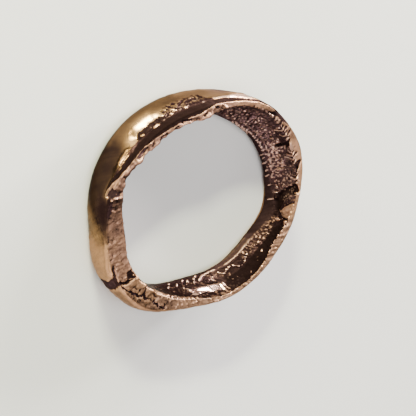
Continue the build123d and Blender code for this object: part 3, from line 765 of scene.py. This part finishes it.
# Shader maths
class Link:
    """An output socket that adds Math nodes when it is used in an expression."""

    def __init__(self, tree, socket):
        self.tree, self.socket = tree, socket

    def maths(self, operation, *values, clamp=False):
        return self.tree.node("ShaderNodeMath", {"operation": operation, "use_clamp": clamp},
                              dict(enumerate(values)))

    def __add__(self, other):
        return self.maths("ADD", self, other)

    def __radd__(self, other):
        return self.maths("ADD", other, self)

    def __sub__(self, other):
        return self.maths("SUBTRACT", self, other)

    def __rsub__(self, other):
        return self.maths("SUBTRACT", other, self)

    def __mul__(self, other):
        return self.maths("MULTIPLY", self, other)

    def __rmul__(self, other):
        return self.maths("MULTIPLY", other, self)

    def clamp(self):
        return self.maths("ADD", self, 0.0, clamp=True)

    def between(self, low, high):
        """0 at low, 1 at high, smooth between them."""
        return self.tree.node("ShaderNodeMapRange", {"interpolation_type": "SMOOTHSTEP"},
                              {"Value": self, "From Min": low, "From Max": high})


class Tree:
    """One material's nodes."""

    def __init__(self, name):
        self.material = bpy.data.materials.new(name)
        self.material.use_nodes = True
        self.nodes = self.material.node_tree.nodes
        self.links = self.material.node_tree.links
        self.nodes.clear()

    def node(self, kind, settings=None, sockets=None, output=0):
        item = self.nodes.new(kind)
        for name, value in (settings or {}).items():
            setattr(item, name, value)
        for key, value in (sockets or {}).items():
            if isinstance(value, Link):
                self.links.new(value.socket, item.inputs[key])
            else:
                item.inputs[key].default_value = value
        return None if output is None else Link(self, item.outputs[output])

    def attribute(self, name, output="Fac"):
        return self.node("ShaderNodeAttribute", {"attribute_name": name}, output=output)

    def place(self):
        return self.node("ShaderNodeTexCoord", output="Object")

    def noise(self, size, detail, rough, where=None):
        """Noise round 0, with patches about as large as size, in millimetres."""
        sockets = {"Vector": where or self.place(), "Scale": 1.0 / (size * MM), "Detail": detail,
                   "Roughness": rough}
        return self.node("ShaderNodeTexNoise", {}, sockets, output="Fac") - 0.5

    def cells(self, size):
        """How far it is to the middle of the nearest cell. Size is in millimetres."""
        sockets = {"Vector": self.place(), "Scale": 1.0 / (size * MM)}
        return self.node("ShaderNodeTexVoronoi", {}, sockets, output="Distance")

    def mix(self, factor, low, high):
        """A colour between two, each a link or three numbers."""
        low, high = (c if isinstance(c, Link) else (*c, 1.0) for c in (low, high))
        return self.node("ShaderNodeMix", {"data_type": "RGBA"}, {0: factor, 6: low, 7: high}, output=2)

    def surface(self, **sockets):
        names = {k.replace("_", " "): v for k, v in sockets.items()}
        return self.node("ShaderNodeBsdfPrincipled", {}, names)

    def finish(self, shader):
        self.node("ShaderNodeOutputMaterial", {}, {"Surface": shader}, output=None)
        return self.material


# What a user may change
def length_setting(name, description, metres):
    return FloatProperty(name=name, description=description, default=metres,
                         unit="LENGTH", subtype="DISTANCE")


def angle_setting(name, description, degrees):
    return FloatProperty(name=name, description=description, default=radians(degrees),
                         subtype="ANGLE")


def colour_setting(name, description, *default):
    return FloatVectorProperty(name=name, description=description, default=default,
                               subtype="COLOR", min=0, max=1)


class RingSizes(bpy.types.PropertyGroup):
    finger_radius: length_setting("Finger radius", "Mean circle of the finger hole", 0.010)
    band_width: length_setting("Band width", "From the back edge to the front lip", 0.0052)
    wall: length_setting("Wall", "Mean thickness of the metal", 0.002)


class RingFinish(bpy.types.PropertyGroup):
    bronze: colour_setting("Bronze", "Polished metal of the outer wall", 0.50, 0.288, 0.128)
    copper: colour_setting("Worn copper", "Filed lip and worn high spots", 0.52, 0.28, 0.145)
    rose: colour_setting("Rosy copper", "The front ridge and the rough front face", 0.50, 0.265, 0.175)
    # the brown of the shade layer: painted darker reflections on the outer wall, and brown tarnish elsewhere
    brown: colour_setting("Brown shade", "Soft tarnish on the outer wall", 0.024, 0.0135, 0.0105)
    # the crumb colour is also the paler metal of the painted highlights and sheen
    crumb: colour_setting("Crumbs", "Pale metal rubbed bright on the casting skin", 0.66, 0.405, 0.318)
    umber: colour_setting("Umber", "Paler casting skin, on the right of the inner wall", 0.094, 0.051, 0.052)
    patina: colour_setting("Patina", "Dark casting skin", 0.027, 0.0135, 0.0135)


class StageSettings(bpy.types.PropertyGroup):
    floor: colour_setting("Floor", "Pale studio floor", 0.78, 0.77, 0.75)
    camera_elevation: angle_setting("Camera elevation", "Above the floor", 50.7)
    camera_turn: angle_setting("Camera side", "Round the ring from +X towards +Y", 151.8)
    camera_distance: length_setting("Camera distance", "To the ring's middle", 0.150)


def bronze_material(finish):
    t = Tree("rough_cast_bronze")
    polish, filed, shade, patina, crumbs, rose, dull, umber, shade_film, pale, high, deep = (
        t.attribute(name) for name in LAYERS)
    cloud = t.noise(2.2, 3.0, 0.55)
    skin = t.noise(0.6, 4.0, 0.6)
    grain = t.noise(0.26, 3.0, 0.6)
    stroke = t.noise(0.42, 3.0, 0.6, where=t.attribute("brush", "Vector"))
    # clean metal: golden where polished, pinker where filed, paler where crumbs are worn bright or
    # highlights are painted, browner under the painted shade and tarnish
    blush = (rose + (skin + cloud) * 1.2).clamp()
    metal = t.mix(polish, t.mix(blush, finish.copper, finish.rose), finish.bronze)
    metal = t.mix((crumbs * 0.6 + pale).clamp(), metal, finish.crumb)
    # soft brown: the shade layer, mottled; darker in the hollows as painted shade, lighter on worn high
    # spots
    brown = shade + cloud * (0.35 - polish * 0.27) + stroke * (0.15 - polish * 0.08 + filed * 0.6)
    brown = brown + grain * filed * 0.7 + deep * 0.5 - high * 0.35 - (1.0 - polish) * 0.05
    metal = t.mix(brown.clamp(), metal, finish.brown)
    # casting skin: nearly black, with a ragged edge
    edge = patina + deep * 0.45 - high * 0.50 + skin * 0.6 + stroke * 0.5 + grain * 0.3
    crust = edge.between(0.34, 0.56)
    black = t.mix(dull, finish.patina, tuple(0.2 * c for c in finish.patina))
    browner = ((0.9 + stroke * 2.5 + cloud) * umber * (1.0 - dull * 0.6)).clamp()
    black = t.mix(browner, black, finish.umber)
    # bright crumbs on it: small granules
    granule = 1.0 - t.cells(0.36).between(0.22, 0.44)
    patch = t.noise(0.7, 2.0, 0.5).between(-0.08, 0.06)
    bright = ((granule * patch * 1.5 + high * 0.35) * crumbs * crust).clamp()
    light = t.mix(rose, finish.crumb, finish.rose)
    rough = 1.0 - polish * 0.9
    height = grain * rough + stroke * 0.5 * rough + bright * 0.6
    bump = t.node("ShaderNodeBump", {}, {"Strength": 0.8, "Distance": 0.05 * MM, "Height": height})
    # both surfaces get a grey edge tint that darkens grazing reflections: painted darker reflections at the
    # ring's edges
    clean = t.surface(
        Base_Color=metal, Metallic=1.0, Normal=bump, Specular_Tint=(0.45, 0.465, 0.475, 1.0),
        Roughness=0.36 - polish * 0.19 + filed * 0.08 + dull * 0.3 + skin * (0.2 - polish * 0.16))
    skinned = t.surface(
        Base_Color=t.mix(bright * 0.85, black, light), Metallic=(1.0 - dull).clamp(), Normal=bump,
        Specular_Tint=(0.45, 0.45, 0.45, 1.0), Specular_IOR_Level=0.0,
        Roughness=0.30 + dull * 0.3 + skin * 0.2)
    # the shade film paints shade and darker reflections, matte and dark like the casting skin
    covered = (crust * 0.995 + shade_film).clamp()
    return t.finish(t.node("ShaderNodeMixShader", {}, {0: covered, 1: clean, 2: skinned}))


def mesh_from(bm, name):
    """A new mesh with what the bmesh holds."""
    mesh = bpy.data.meshes.new(name)
    bm.to_mesh(mesh)
    bm.free()
    return mesh


def add_object(context, name, data):
    """A new object, linked to the scene."""
    item = bpy.data.objects.new(name, data)
    context.scene.collection.objects.link(item)
    return item


class RING_OT_cast_band(bpy.types.Operator):
    """Cast the bronze band from its sections"""
    bl_idname = "ring.cast_band"
    bl_label = "Cast the band"

    def execute(self, context):
        sizes = context.scene.ring_sizes
        band = Band(sizes)
        rest = band.points
        normals = blur(band.normals(), 2, 2)
        normals /= np.linalg.norm(normals, axis=-1, keepdims=True)
        points = rest + band.relief(rest, normals)[..., None] * normals
        mesh, i, j = self.spun_grid(sizes)
        mesh.vertices.foreach_set("co", (points[i, j] * MM).ravel())
        mesh.polygons.foreach_set("use_smooth", np.ones(len(mesh.polygons), bool))
        for name, values in self.finish_layers(band, points, rest, normals).items():
            layer = mesh.attributes.new(name, "FLOAT", "POINT")
            layer.data.foreach_set("value", values[i, j].astype(np.float32))
        layer = mesh.attributes.new("brush", "FLOAT_VECTOR", "POINT")
        layer.data.foreach_set("vector", (band.brush[i, j] * MM).astype(np.float32).ravel())
        bm = bmesh.new()
        bm.from_mesh(mesh)
        bmesh.ops.recalc_face_normals(bm, faces=bm.faces[:])
        bm.to_mesh(mesh)
        bm.free()
        ring = add_object(context, "ring_band", mesh)
        mesh.materials.append(bronze_material(context.scene.ring_finish))
        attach(ring, "root")
        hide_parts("ring")
        return {"FINISHED"}

    def spun_grid(self, sizes):
        """A round tube spun into a ring, and the place of each of its points in the grid."""
        bm = bmesh.new()
        upright = Matrix.Translation((sizes.finger_radius, 0, 0)) @ Matrix.Rotation(radians(90.0), 4, "X")
        bmesh.ops.create_circle(bm, cap_ends=False, radius=sizes.finger_radius * 0.3,
                                segments=ACROSS, matrix=upright)
        bmesh.ops.spin(bm, geom=bm.verts[:] + bm.edges[:], cent=(0, 0, 0), axis=(0, 0, 1),
                       angle=radians(360.0), steps=SPIN_STEPS, use_merge=True)
        around = [e for e in bm.edges
                  if abs(e.verts[0].co.z - e.verts[1].co.z) < 1e-7
                  and abs(e.verts[0].co.xy.length - e.verts[1].co.xy.length) < 1e-7]
        bmesh.ops.subdivide_edges(bm, edges=around, cuts=AROUND // SPIN_STEPS - 1, use_grid_fill=True)
        mesh = mesh_from(bm, "ring_band")
        count = len(mesh.vertices)
        if count != AROUND * ACROSS:
            raise RuntimeError(f"the spun band has {count} points")
        co = np.empty(count * 3)
        mesh.vertices.foreach_get("co", co)
        co = co.reshape(-1, 3)
        # a chord between two spun circles is a straight line, so its points are counted evenly
        segment = 360.0 / SPIN_STEPS
        place = np.degrees(np.arctan2(co[:, 1], co[:, 0])) % 360.0 / segment
        low = np.floor(place + 1e-6)
        off = np.radians((place - low - 0.5) * segment)
        half = radians(segment / 2.0)
        share = 0.5 + np.tan(off) / (2.0 * np.tan(half))
        i = np.rint((low + share) * (AROUND // SPIN_STEPS)).astype(int) % AROUND
        # the section starts at the tube's lower inner side, 135 degrees before its outermost point
        out = np.hypot(co[:, 0], co[:, 1]) * np.cos(off) / np.cos(half) - sizes.finger_radius
        over = np.degrees(np.arctan2(co[:, 2], out)) + 135.0
        j = np.rint((over % 360.0) * ACROSS / 360.0).astype(int) % ACROSS
        if len(set(zip(i.tolist(), j.tolist()))) != count:
            raise RuntimeError("two points of the band share a place in the grid")
        return mesh, i, j

    def finish_layers(self, band, points, rest, normals):
        """Where the metal is polished, filed, tarnished, worn bright or dark in its hollows, and where
        shade, darker reflections and highlights are painted on it.
        """
        warp = clouds(rest, 0.8)
        angle = band.angle[:, None] + WANDER * warp
        across = band.across[None, :] + STAIN_SWAY * warp
        layers = {name: np.zeros(rest.shape[:2]) for name in STAINS}
        for name, stains in STAINS.items():
            for s in (Stain(*row) for row in stains):
                mask = arc_window(angle, s.start, s.end, s.fade) * window(across, s.low, s.high, s.soft)
                layers[name] = lay_on(layers[name], s.strength * mask)
        # how far each point stands out of what is close round it and of what is farther, in millimetres
        fine = ((points - blur(points, 3, 2)) * normals).sum(-1)
        broad = ((points - blur(points, 20, 12)) * normals).sum(-1)
        layers["high"] = smooth(fine, 0.002, 0.030) * 0.7 + smooth(broad, 0.03, 0.20) * 0.5
        layers["deep"] = smooth(-fine, 0.002, 0.025) * 0.6 + smooth(-broad, 0.02, 0.16) * 0.7
        for area, cover in zip(AREAS, band.covers):
            for name, strength in area.finish.items():
                layers[name] = lay_on(layers[name], strength * cover)
        layers["patina"] = np.clip(layers["patina"] + band.marked, 0.0, 1.0)
        # where a mark rubs tarnish away, the other tones that cover metal fade too, the painted shade among
        # them
        for name in ("shade", "shade_film", "dull"):
            layers[name] *= 1.0 - 0.8 * np.clip(-band.marked, 0.0, 1.0)
        return layers


# The stage
# Each light: degrees round the ring and up from the floor, distance, width and height in metres,
# power in watts and colour.
LIGHTS = {
    "key": (114, 18, 0.30, 0.120, 0.080, 1.2, (0.97, 0.95, 0.57)),
    "core": (112, 24, 0.30, 0.050, 0.020, 1.6, (0.95, 1.00, 0.74)),
    "kicker": (142, 13, 0.30, 0.020, 0.020, 0.3, (0.97, 0.90, 0.52)),
    "side": (55, 13, 0.30, 0.125, 0.050, 2.1, (1.0, 0.96, 0.92)),
    "edge": (31, 14, 0.30, 0.060, 0.060, 1.8, (1.0, 0.97, 0.94)),
    "glow": (250, 13, 0.40, 0.320, 0.140, 0.95, (1.0, 0.93, 0.91)),
    "back": (336, 46, 0.50, 0.300, 0.210, 0.28, (1.0, 0.95, 0.90)),
    "rim": (348, 47, 0.50, 0.100, 0.140, 0.05, (1.0, 0.96, 0.90)),
    "fill": (150, 80, 0.60, 0.500, 0.350, 3.3, (1.0, 0.98, 0.97)),
}
SKY_COLOUR, SKY_STRENGTH = (0.9, 0.93, 1.0, 1.0), 0.22
# The camera's lens in millimetres, and where it aims: up the ring's axis, then right and down in
# the picture, in metres.
LENS = 121.3
AIM_UP, AIM_RIGHT, AIM_DOWN = 0.0031, 0.00074, 0.00082


def towards(turn, rise):
    """A step of length 1 from the middle, to one side and upward, from two angles in radians."""
    return Vector((np.cos(rise) * np.cos(turn), np.cos(rise) * np.sin(turn), np.sin(rise)))


class RING_OT_lay_stage(bpy.types.Operator):
    """Lay the pale floor and set the lights and the camera"""
    bl_idname = "ring.lay_stage"
    bl_label = "Lay the stage"

    def execute(self, context):
        stage = context.scene.ring_stage
        self.lay_floor(context, stage.floor)
        self.set_camera(context, stage)
        for name, light in LIGHTS.items():
            self.softbox(context, name, *light)
        world = bpy.data.worlds.new("studio")
        world.use_nodes = True
        sky = world.node_tree.nodes["Background"].inputs
        sky["Color"].default_value = SKY_COLOUR
        sky["Strength"].default_value = SKY_STRENGTH
        context.scene.world = world
        return {"FINISHED"}

    def lay_floor(self, context, colour):
        bm = bmesh.new()
        bmesh.ops.create_grid(bm, x_segments=1, y_segments=1, size=0.6)
        floor = add_object(context, "floor", mesh_from(bm, "floor"))
        t = Tree("pale_floor")
        floor.data.materials.append(t.finish(t.surface(Base_Color=(*colour, 1.0), Roughness=0.6)))
        floor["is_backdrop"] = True

    def set_camera(self, context, stage):
        turn, rise = stage.camera_turn, stage.camera_elevation
        back = towards(turn, rise)
        right, up = self.image_axes(turn, rise)
        target = Vector((0, 0, AIM_UP)) + right * AIM_RIGHT - up * AIM_DOWN
        place = target + back * stage.camera_distance
        data = bpy.data.cameras.new("camera")
        data.lens = LENS
        data.sensor_width = 36.0
        data.clip_start, data.clip_end = 0.005, 10.0
        camera = add_object(context, "camera", data)
        camera.matrix_world = Matrix((
            (right.x, up.x, back.x, place.x), (right.y, up.y, back.y, place.y),
            (right.z, up.z, back.z, place.z), (0, 0, 0, 1)))
        context.scene.camera = camera

    def image_axes(self, turn, rise):
        """The picture's right and up, turned so that the ring stands as it does when worn."""
        aim = turn - radians(180.0)
        flat = Vector((np.cos(aim), np.sin(aim), 0.0))
        side = Vector((-np.sin(aim), np.cos(aim), 0.0))
        tall = flat * np.sin(rise) + Vector((0, 0, np.cos(rise)))
        right = tall * np.cos(aim) - side * np.sin(aim)
        up = tall * np.sin(aim) + side * np.cos(aim)
        return right, up

    def softbox(self, context, name, turn, rise, distance, width, height, power, colour):
        data = bpy.data.lights.new(name, "AREA")
        data.shape = "RECTANGLE"
        data.size, data.size_y = width, height
        data.energy = power
        data.color = colour
        light = add_object(context, name, data)
        place = towards(radians(turn), radians(rise)) * distance
        light.location = place
        light.rotation_euler = place.to_track_quat("Z", "Y").to_euler()


class RING_PT_panel(bpy.types.Panel):
    """The ring's sizes, finish and stage"""
    bl_idname = "RING_PT_panel"
    bl_label = "Bronze Ring"
    bl_space_type = "VIEW_3D"
    bl_region_type = "UI"
    bl_category = "Bronze Ring"

    def draw(self, context):
        for group in (context.scene.ring_sizes, context.scene.ring_finish, context.scene.ring_stage):
            box = self.layout.box()
            for name in group.__annotations__:
                box.prop(group, name)
        self.layout.operator("ring.cast_band")
        self.layout.operator("ring.lay_stage")


CLASSES = (RingSizes, RingFinish, StageSettings, RING_OT_cast_band, RING_OT_lay_stage, RING_PT_panel)


def register():
    for cls in CLASSES:
        bpy.utils.register_class(cls)
    bpy.types.Scene.ring_sizes = PointerProperty(type=RingSizes)
    bpy.types.Scene.ring_finish = PointerProperty(type=RingFinish)
    bpy.types.Scene.ring_stage = PointerProperty(type=StageSettings)


def unregister():
    del bpy.types.Scene.ring_stage, bpy.types.Scene.ring_finish, bpy.types.Scene.ring_sizes
    for cls in reversed(CLASSES):
        bpy.utils.unregister_class(cls)


def corners(box):
    return [[float(v) for v in corner] for corner in box]


def main():
    register()
    bpy.ops.ring.cast_band()
    bpy.ops.ring.lay_stage()
    {"cad": corners(cad_box), "visual": corners(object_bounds())}


if __name__ == "__main__":
    main()
